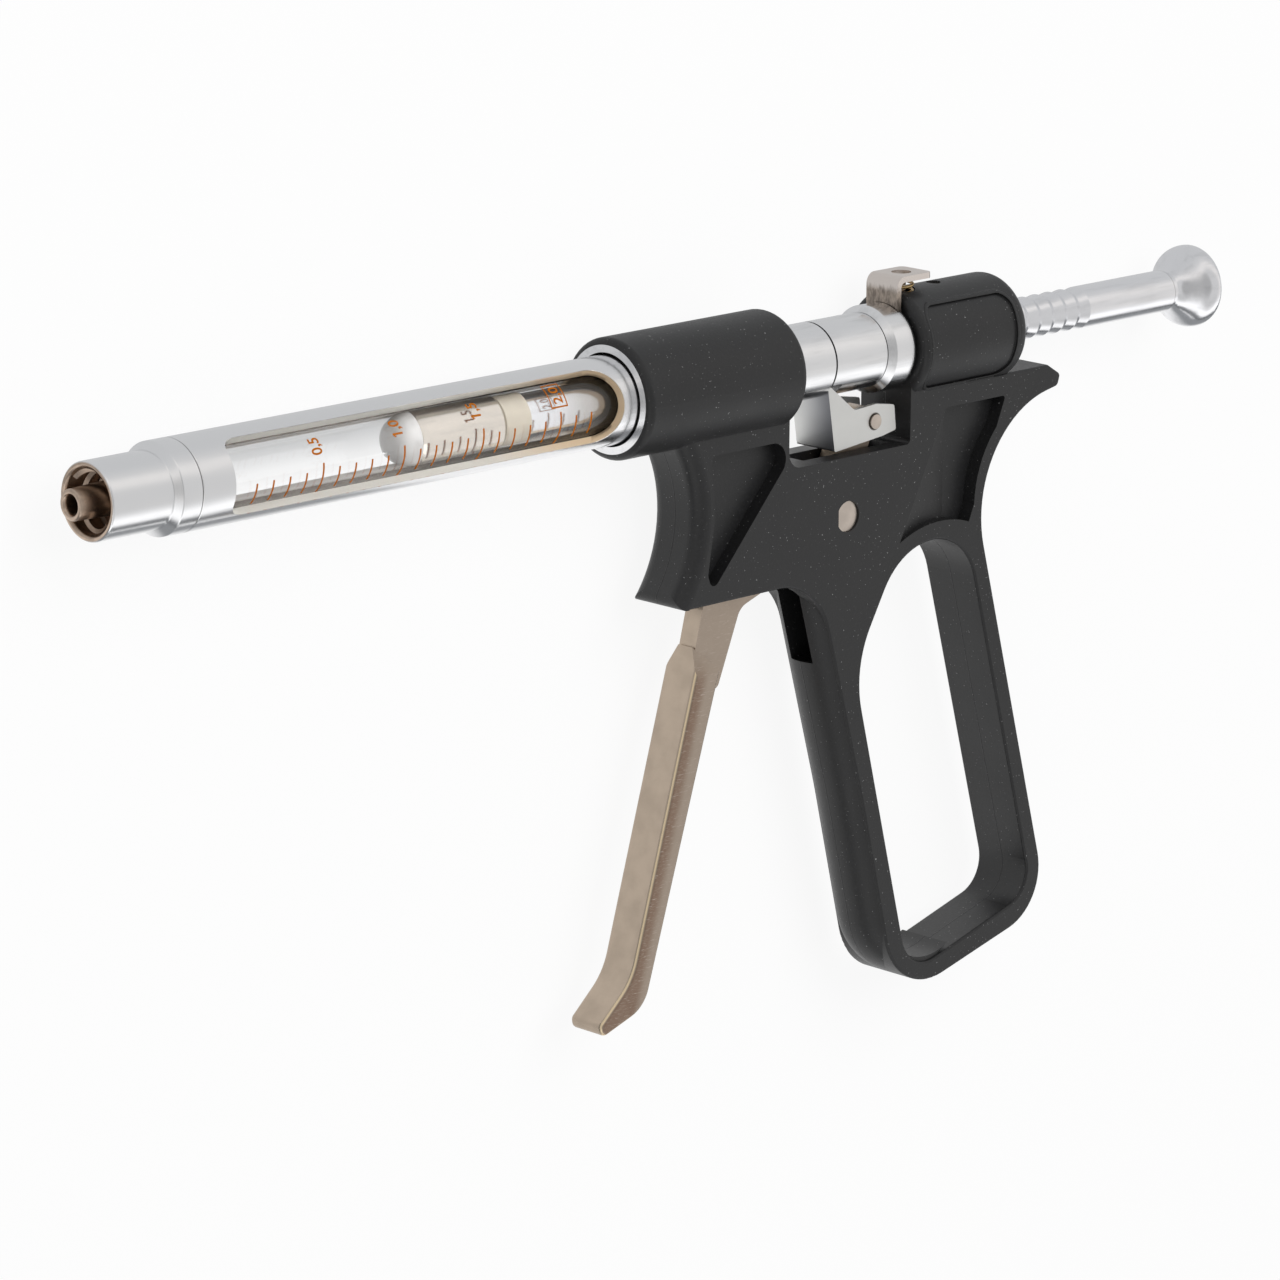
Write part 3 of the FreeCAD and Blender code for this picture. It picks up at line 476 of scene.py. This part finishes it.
def leverNickel():
    # mottled plating with a painted highlight on the rounded edges; the broad sides are rough, with a copper
    # stain behind the front edge
    finish = Finish("leverNickel", {"Metallic": 1.0, "Base Color": lever["faceColour"]})
    coords = finish.coords(origin)
    x, y = finish.split(coords)[:2]
    run = Vector(lever["bladeTop"]) - Vector(lever["bladeFoot"])
    run.normalize()
    back = (x - lever["bladeTop"][0] * mm) * run.y - (y - lever["bladeTop"][1] * mm) * run.x
    low = 1 - finish.between(y, lever["stainTop"])
    facing = finish.split(finish.node("TexCoord", output="Normal"))[2]
    side = finish.smooth(facing, 0.75, 0.95)
    turn = math.atan2(run.y, run.x) - math.pi / 2
    along = finish.coords(origin, turn=(0, 0, -turn), scale=(0.5, 4.0, 1.0))
    scratches = finish.noise(along, 1300.0, 3.0, 0.65)
    clouds = finish.noise(coords, 420.0, 4.0)
    blotches = finish.noise(coords, 150.0, 3.0)
    darkFace = tuple(c * 0.9 for c in lever["faceColour"][:3]) + (1,)
    face = finish.mix(finish.smooth(clouds * 0.6 + blotches * 0.4, 0.35, 0.7), lever["faceColour"], darkFace)
    stain = (1 - finish.between(back + (scratches - 0.5) * 0.0012, lever["stainWidth"])) * low
    stain = stain * (finish.smooth(scratches, 0.32, 0.5) * 0.45 + 0.55)
    sides = finish.mix(stain, lever["sideColour"], lever["stainColour"])
    sides = finish.mix(finish.smooth(scratches, 0.55, 0.72), sides, lever["paleColour"])
    colour = finish.mix(side, face, sides)
    # painted highlight on the rounded edges, found by how they face
    edge = finish.smooth(facing, 0.25, 0.4) * (1 - finish.smooth(facing, 0.65, 0.85))
    colour = finish.mix(edge, colour, lever["edgeHighlightColour"])
    roughness = lever["roughness"] + (clouds - 0.5) * 0.2 + side * (0.12 + (scratches - 0.5) * 0.3)
    normal = finish.bump(scratches * side + clouds * 0.2, 0.00004, 0.4)
    return finish.feed(colour=colour, roughness=roughness, normal=normal)


yoke = {
    "colour": (0.80, 0.80, 0.78, 1),
    "roughness": 0.46,
    "ringColour": (0.12, 0.11, 0.10, 1),    # shade round the riveted pin
    "pin": (134.2, -9.2),
    "ring": (1.12, 1.3),
    "webReflectionColour": (0.30, 0.305, 0.33, 1),    # painted dark reflection on the web's front face, deepening towards its fold
    "webFade": (-5.5, 4.5),
}


def yokeSteel():
    finish = Finish("yokeSteel", {"Metallic": 1.0, "Base Color": yoke["colour"]})
    coords = finish.coords(place(*yoke["pin"], 0))
    x, y, z = finish.split(coords)
    ring = 1 - finish.between((x * x + y * y) ** 0.5, yoke["ring"])
    clouds = finish.noise(coords, 300.0, 3.0)
    fine = finish.noise(coords, 4200.0, 2.0)
    dull = tuple(c * 0.93 for c in yoke["colour"][:3]) + (1,)
    colour = finish.mix(ring, finish.mix(clouds, yoke["colour"], dull), yoke["ringColour"])
    # painted dark reflection on the web's front face, deepening towards the fold
    front = finish.split(finish.node("TexCoord", output="Normal"))[0] * -1
    webReflection = finish.smooth(front, 0.5, 0.8) * finish.between(z, yoke["webFade"])
    colour = finish.mix(webReflection, colour, yoke["webReflectionColour"])
    return finish.feed(colour=colour, roughness=yoke["roughness"] + (clouds - 0.5) * 0.1,
                       normal=finish.bump(fine, 0.00001, 0.3))


latch = {
    "colour": (0.80, 0.73, 0.68, 1),
    "legColour": (0.26, 0.22, 0.19, 1),
    "rubbedColour": (0.52, 0.44, 0.37, 1),
    "legTop": (7.4, 8.6),       # mm above the axis, where the rough leg turns into the bend
    "roughness": 0.34,
}


def latchNickel():
    # bright bend and flange, and a leg roughened where it rubs
    finish = Finish("latchNickel", {"Metallic": 1.0, "Base Color": latch["colour"]})
    coords = finish.coords(origin)
    height = finish.split(coords)[1]
    clouds = finish.noise(coords, 500.0, 4.0)
    rubbed = finish.noise(finish.coords(origin, scale=(1.0, 0.5, 1.6)), 1500.0, 4.0, 0.65)
    leg = 1 - finish.between(height + (rubbed - 0.5) * 0.0015, latch["legTop"])
    mottled = finish.mix(finish.smooth(rubbed, 0.35, 0.65), latch["legColour"], latch["rubbedColour"])
    colour = finish.mix(leg, latch["colour"], mottled)
    roughness = latch["roughness"] + (clouds - 0.5) * 0.2 + leg * 0.12
    return finish.feed(colour=colour, roughness=roughness, normal=finish.bump(rubbed, 0.00002, 0.4))


chromed = turnedMetal("chromedMetal", barrelMetal)
rodSteel = turnedMetal("rodSteel", rodMetal)
pinSteel = plainMetal("pinSteel", (0.66, 0.58, 0.51, 1), 0.34)
springBrass = plainMetal("springBrass", (0.62, 0.45, 0.22, 1), 0.3)
sleeveChrome = sleeveMetal()
paint(sleeveChrome, "barrel_sleeve")
paint(chromed, "luer_nozzle", "guide_bush", "front_liner", "carriage_core", "carriage_cover",
      "carriage_front_ring")
paint(rodSteel, "piston_rod", "rod_knob", "rear_bush")
paint(leverNickel(), "trigger_lever")
paint(yokeSteel(), "drive_yoke")
paint(latchNickel(), "latch_plate")
paint(pinSteel, "pivot_screw", "yoke_pin", "bush_grub_screw", "latch_guide_pin", "drive_pawl",
      "pawl_hoop", "return_spring", "yoke_spring")
paint(springBrass, "latch_spring")
paint(turnedMetal("pistonMetal", headMetal), "piston_head")
print("metals painted")


grip = {
    "colour": (0.0125, 0.0125, 0.013, 1),
    "paleColour": (0.022, 0.022, 0.023, 1),
    "speckColour": (0.25, 0.25, 0.25, 1),
    "roughness": 0.43,
    "partingWidth": (0.03, 0.09),   # mm either side of the mid-plane
    "panelMiddle": (149.9, 0.0),    # of the bare panel on the rear collar
    "panelHalf": (8.4, 5.7),
    "panelCorner": 2.0,
    "panelRim": (0.08, 0.3),
}


def makeGlass():
    finish = Finish("clearGlass", {"Base Color": (1, 1, 1, 1), "Roughness": 0.02, "IOR": 1.47,
                                   "Transmission Weight": 1.0})
    clouds = finish.noise(finish.coords(), 60.0, 2.0)
    return finish.feed(roughness=clouds * 0.03)


def gripNylon():
    # fine moulded grain with a few bright specks, and the parting line of the mould
    finish = Finish("gripNylon", {"Base Color": grip["colour"], "Specular IOR Level": 0.45})
    coords = finish.coords(origin)
    grain = finish.noise(coords, 2600.0, 3.0, 0.6)
    patches = finish.noise(coords, 90.0, 3.0)
    dots = finish.noise(coords, 3600.0, 1.0)
    specks = finish.smooth(dots, 0.745, 0.77)
    colour = finish.mix(finish.smooth(grain, 0.5, 0.8), grip["colour"], grip["paleColour"])
    colour = finish.mix(specks, colour, grip["speckColour"])
    roughness = grip["roughness"] + (patches - 0.5) * 0.15 + (grain - 0.5) * 0.2
    across = abs(finish.split(coords)[2])
    parting = 1 - finish.between(across, grip["partingWidth"])
    normal = finish.bump(grain, 0.00003, 0.5)
    normal = finish.bump(parting + panelRim(finish) * 1.5, 0.00009, 1.0, normal)
    return finish.feed(colour=colour, roughness=roughness, normal=normal)


def panelRim(finish):
    # a low raised rim round the panel, from the distance to its rounded outline
    x, y, z = finish.split(finish.coords(place(*grip["panelMiddle"], 0)))
    corner = grip["panelCorner"] * mm
    outX = finish.node("Math", {"operation": "MAXIMUM"},
                       {0: abs(x) - (grip["panelHalf"][0] * mm - corner), 1: 0.0})
    outY = finish.node("Math", {"operation": "MAXIMUM"},
                       {0: abs(y) - (grip["panelHalf"][1] * mm - corner), 1: 0.0})
    away = abs((outX * outX + outY * outY) ** 0.5 - corner - 0.2 * mm)
    return (1 - finish.between(away, grip["panelRim"])) * finish.between(z, (1.0, 2.0))


def softFinish(name, colour, roughness, seeThrough=0.0):
    finish = Finish(name, {"Base Color": colour, "Roughness": roughness, "Transmission Weight": seeThrough})
    clouds = finish.noise(finish.coords(), 500.0, 3.0)
    dark = tuple(c * 0.85 for c in colour[:3]) + (1,)
    return finish.feed(colour=finish.mix(clouds, colour, dark), roughness=roughness + (clouds - 0.5) * 0.1)


paint(makeGlass(), "glass_barrel")
paint(gripNylon(), "grip_body")
capRubber = softFinish("capRubber", (1.0, 0.98, 0.96, 1), 0.2, 0.1)
paint(capRubber, "piston_cap")
paint(softFinish("sealRubber", (0.03, 0.03, 0.03, 1), 0.6), "front_seal_washer", "rear_seal_ring")
paint(softFinish("bandPlastic", (0.78, 0.70, 0.57, 1), 0.4), "piston_guide_band")
print("plastics painted")


def newPiece(name, form, material, body, crease=None):
    # a bmesh becomes an object at the origin that rides on a body
    bmesh.ops.remove_doubles(form, verts=form.verts, dist=0.000002)
    bmesh.ops.recalc_face_normals(form, faces=form.faces)
    mesh = bpy.data.meshes.new(name)
    form.to_mesh(mesh)
    form.free()
    mesh.materials.append(material)
    mesh.shade_smooth()
    if crease:
        mesh.set_sharp_from_angle(angle=math.radians(crease))
    piece = bpy.data.objects.new(name, mesh)
    bpy.context.scene.collection.objects.link(piece)
    if crease:
        weights = piece.modifiers.new("weights", "WEIGHTED_NORMAL")
        weights.keep_sharp = True
    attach(piece, body)
    return piece


def lathe(corners, steps=128):
    # a closed outline of (x, radius) is spun round the barrel's axis
    form = bmesh.new()
    verts = [form.verts.new(around(x, 0, radius)) for x, radius in corners]
    edges = [form.edges.new((verts[i - 1], verts[i])) for i in range(len(verts))]
    bmesh.ops.spin(form, geom=verts + edges, cent=origin, axis=(1, 0, 0), angle=math.radians(360),
                   steps=steps, use_merge=True)
    return form


sleeve = {"turn": -19.0}        # degrees; the windows face 9.5 above the left side


def makeSleeve(material):
    # the sleeve's own mesh, turned round the barrel until the windows stand as on the photo
    form = bmesh.new()
    form.from_mesh(nodes["barrel_sleeve"].data)
    bmesh.ops.rotate(form, verts=form.verts, cent=origin,
                     matrix=Matrix.Rotation(math.radians(sleeve["turn"]), 3, "X"))
    piece = newPiece("sleeveShell", form, material, "housing", 35)
    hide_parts("barrel_sleeve")


def roundRim(form, x, radius, size, segments=3):
    # rounds one ring-shaped edge of a lathed form
    def onRim(vert):
        away = (vert.co - origin) / mm
        return abs(away.x - x) < 0.005 and abs(math.hypot(away.y, away.z) - radius) < 0.005
    rim = [edge for edge in form.edges if all(onRim(vert) for vert in edge.verts)]
    bmesh.ops.bevel(form, geom=rim, offset=size * mm, offset_type="OFFSET", segments=segments,
                    profile=0.5, affect="EDGES", material=-1, clamp_overlap=True)


def makeNozzle(material):
    n = nozzle
    rootRadius = n["tipRadius"] + n["taper"] * (n["reach"] + n["boreDepth"])
    form = lathe([
        (-n["reach"], n["mouthRadius"]),
        (-n["reach"], n["tipRadius"]),
        (n["boreDepth"], rootRadius),
        (n["boreDepth"], n["boreRadius"]),
        (0.45, n["boreRadius"]),
        (0, n["boreRadius"] + 0.5),
        (0, n["collarRadius"]),
        (n["collarLength"], n["collarRadius"]),
        (n["collarLength"] + n["stepLength"], n["barrelRadius"]),
        (n["length"], n["barrelRadius"]),
        (n["length"], n["spigotRadius"]),
        (n["spigotEnd"], n["spigotRadius"]),
        (n["spigotEnd"], n["fluidRadius"]),
        (-n["reach"] + n["mouthDepth"], n["fluidRadius"]),
    ])
    roundRim(form, -n["reach"], n["tipRadius"], 0.3, 4)
    roundRim(form, -n["reach"], n["mouthRadius"], 0.08)
    roundRim(form, 0, n["collarRadius"], 0.3, 4)
    roundRim(form, 0, n["boreRadius"] + 0.5, 0.08)
    roundRim(form, n["collarLength"], n["collarRadius"], 0.1)
    roundRim(form, n["collarLength"] + n["stepLength"], n["barrelRadius"], 0.12)
    roundRim(form, n["length"], n["barrelRadius"], 0.1, 2)
    piece = newPiece("nozzleShell", form, material, "housing", 50)
    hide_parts("luer_nozzle")


cap = {"front": 48.5, "back": 51.27, "radius": 3.43, "dome": 2.6, "stud": 1.42, "studDepth": 2.0}


def makeCap(material):
    # soft domed front of the piston, with a socket for the head's stud
    form = lathe([(cap["front"], 0), (cap["front"], cap["radius"]), (cap["back"], cap["radius"]),
                  (cap["back"], cap["stud"]), (cap["back"] - cap["studDepth"], cap["stud"]),
                  (cap["back"] - cap["studDepth"], 0)], 96)
    roundRim(form, cap["front"], cap["radius"], cap["dome"], 10)
    roundRim(form, cap["back"], cap["radius"], 0.15, 2)
    piece = newPiece("capDome", form, material, "plunger", 60)
    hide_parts("piston_cap")


thread = {"outer": 4.02, "inner": 3.5, "halfFoot": 0.42, "halfCrest": 0.14,
          "start": 0.9, "lead": 5.0, "turns": 0.95, "starts": 2, "turn": 130}


def makeThread(material):
    # two ridges inside the lock collar
    form = bmesh.new()
    steps = 64
    for i in range(thread["starts"]):
        begin = 360 * i / thread["starts"] + thread["turn"]
        corners = []
        for dx, radius in ((-thread["halfFoot"], thread["outer"]), (-thread["halfCrest"], thread["inner"]),
                           (thread["halfCrest"], thread["inner"]), (thread["halfFoot"], thread["outer"])):
            corners.append(form.verts.new(around(thread["start"] + dx, begin, radius)))
        section = form.faces.new(corners)
        bmesh.ops.spin(form, geom=[section, *section.edges, *corners], cent=origin, axis=(1, 0, 0),
                       angle=math.radians(360 * thread["turns"]), steps=steps,
                       dvec=Vector((thread["lead"] * thread["turns"] / steps, 0, 0)) * mm)
    newPiece("lockThread", form, material, "housing", 40)


scale = {
    "zero": 20.4,               # place of the 0 line along the barrel
    "tenth": 2.7,               # from one line to the next
    "lines": 22,
    "shortArc": (92.5, 131),    # degrees from the barrel's top towards the left side
    "longArc": (82, 142),
    "twist": -0.42,             # the print runs askew by this for each line
    "lineWidth": 0.29,
    "radius": 4.6,
    "digitHeight": 1.65,
    "digitRun": 2.3,            # length of a number round the glass
    "digitAngle": 52,
    "digitTwist": -0.8,
    "digitLead": 0.77,          # middle of the digits in front of their line
    "boxAngle": 49.5,
    "boxSize": (2.7, 3.3, 0.2), # length, width round the glass, and stroke
    "boxText": (1.5, 2.5),
    "flag": ((2.1, 6.9), (2.1, 5.5), (0.6, 4.7), (0.6, 5.9)),   # stroke added to the plain 1
    "colour": (0.42, 0.125, 0.01, 1),
}


def stripe(form, x, first, last, width):
    # one printed line round the glass
    made = bmesh.ops.create_grid(form, x_segments=1, y_segments=16, size=0.5)["verts"]
    for vert in made:
        vert.co = around(x + vert.co.x * width, first + (last - first) * (vert.co.y + 0.5), scale["radius"])


def addNumber(form, text, x, middle, height, run):
    # a number is made flat, cut into strips and laid round the glass; its digits stand towards the nozzle
    letters = bpy.data.curves.new("number", "FONT")
    letters.body = text
    letters.size = 10
    letters.offset = 0.2
    letters.resolution_u = 6
    carrier = bpy.data.objects.new("number", letters)
    bpy.context.scene.collection.objects.link(carrier)
    bpy.context.view_layer.update()
    flat = bpy.data.meshes.new_from_object(carrier)
    bpy.data.objects.remove(carrier)
    number = bmesh.new()
    number.from_mesh(flat)
    if text[0] == "1":
        number.faces.new([number.verts.new((*corner, 0)) for corner in scale["flag"]])
    left = min(vert.co.x for vert in number.verts)
    right = max(vert.co.x for vert in number.verts)
    tall = max(vert.co.y for vert in number.verts)
    bmesh.ops.translate(number, verts=number.verts, vec=(-(left + right) / 2, -tall / 2, 0))
    bmesh.ops.scale(number, verts=number.verts, vec=(run / (right - left), height / tall, 1))
    for cut in range(-8, 9):
        bmesh.ops.bisect_plane(number, geom=number.verts[:] + number.edges[:] + number.faces[:],
                               plane_co=(cut * run / 16, 0, 0), plane_no=(1, 0, 0))
    for vert in number.verts:
        vert.co = around(x - vert.co.y, middle - math.degrees(vert.co.x / scale["radius"]), scale["radius"])
    number.to_mesh(flat)
    number.free()
    form.from_mesh(flat)
    bpy.data.meshes.remove(flat)


def makeScale(material):
    form = bmesh.new()
    for i in range(1, scale["lines"] + 1):
        arc = scale["longArc"] if i % 5 == 0 else scale["shortArc"]
        askew = scale["twist"] * (i - scale["lines"] / 2)
        stripe(form, scale["zero"] + scale["tenth"] * i, arc[0] + askew, arc[1] + askew, scale["lineWidth"])
    for text, tenths in (("0,5", 5), ("1,0", 10), ("1,5", 15)):
        addNumber(form, text, scale["zero"] + scale["tenth"] * tenths - scale["digitLead"],
                  scale["digitAngle"] + scale["digitTwist"] * (tenths - 11), scale["digitHeight"],
                  scale["digitRun"])
    length, width, stroke = scale["boxSize"]
    x = scale["zero"] + scale["tenth"] * 20
    middle = scale["boxAngle"]
    addNumber(form, "2,0", x, middle, *scale["boxText"])
    half = math.degrees(width / 2 / scale["radius"])
    side = math.degrees(stroke / scale["radius"])
    for offset in (-length / 2, length / 2):
        stripe(form, x + offset, middle - half, middle + half, stroke)
    for turn in (middle - half, middle + half):
        stripe(form, x, turn - side / 2, turn + side / 2, length + stroke)
    newPiece("scalePrint", form, material, "housing")


def scaleInk():
    finish = Finish("scaleInk", {"Base Color": scale["colour"], "Roughness": 0.8, "Specular IOR Level": 0.05})
    specks = finish.noise(finish.coords(), 3000.0, 2.0)
    light = tuple(min(1.0, c * 1.25) for c in scale["colour"][:3]) + (1,)
    return finish.feed(colour=finish.mix(specks, scale["colour"], light))


springs = {
    "latch": {"wire": 0.45, "turns": 4.5, "travel": 1.0},
    "back": {"wire": 0.6, "turns": 4.5, "travel": 3.31},
}


def makeCoil(name, material, base, way, side, radius, length, look):
    # round wire that is spun up from a small ring standing across it
    form = bmesh.new()
    wire = look["wire"]
    ring = bmesh.ops.create_circle(form, cap_ends=True, segments=10, radius=wire / 2 * mm)["verts"]
    turnIn = Matrix((side, way, side.cross(way))).transposed()
    for vert in ring:
        vert.co = turnIn @ vert.co + base + side * radius * mm + way * wire / 2 * mm
    steps = int(look["turns"] * 28)
    bmesh.ops.spin(form, geom=form.faces[:] + form.edges[:] + form.verts[:], cent=base, axis=way,
                   angle=math.radians(360 * look["turns"]), steps=steps,
                   dvec=way * ((length - wire) / steps) * mm)
    return newPiece(name, form, material, "housing")


def makeSprings():
    along = Vector((1, 0, 0))
    up = Vector((0, 1, 0))
    look = springs["latch"]
    low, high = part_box("latch_spring")
    base = Vector(((low.x + high.x) / 2, low.y, (low.z + high.z) / 2))
    length = (high.y - low.y) / mm
    radius = (high.x - low.x) / 2 / mm - look["wire"] / 2
    coil = makeCoil("latchCoil", springBrass, base, up, along, radius, length, look)
    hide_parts("latch_spring")
    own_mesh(coil)
    look = springs["back"]
    low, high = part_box("return_spring")
    base = Vector((low.x, (low.y + high.y) / 2, (low.z + high.z) / 2))
    length = (high.x - low.x) / mm
    radius = (high.z - low.z) / 2 / mm - look["wire"] / 2
    coil = makeCoil("returnCoil", pinSteel, base, along, up, radius, length, look)
    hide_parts("return_spring")
    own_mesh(coil)


bareNozzle = nozzleChrome()
makeNozzle(bareNozzle)
makeThread(bareNozzle)
makeSleeve(sleeveChrome)
makeCap(capRubber)
makeScale(scaleInk())
makeSprings()
print("nozzle, thread, scale and springs made")
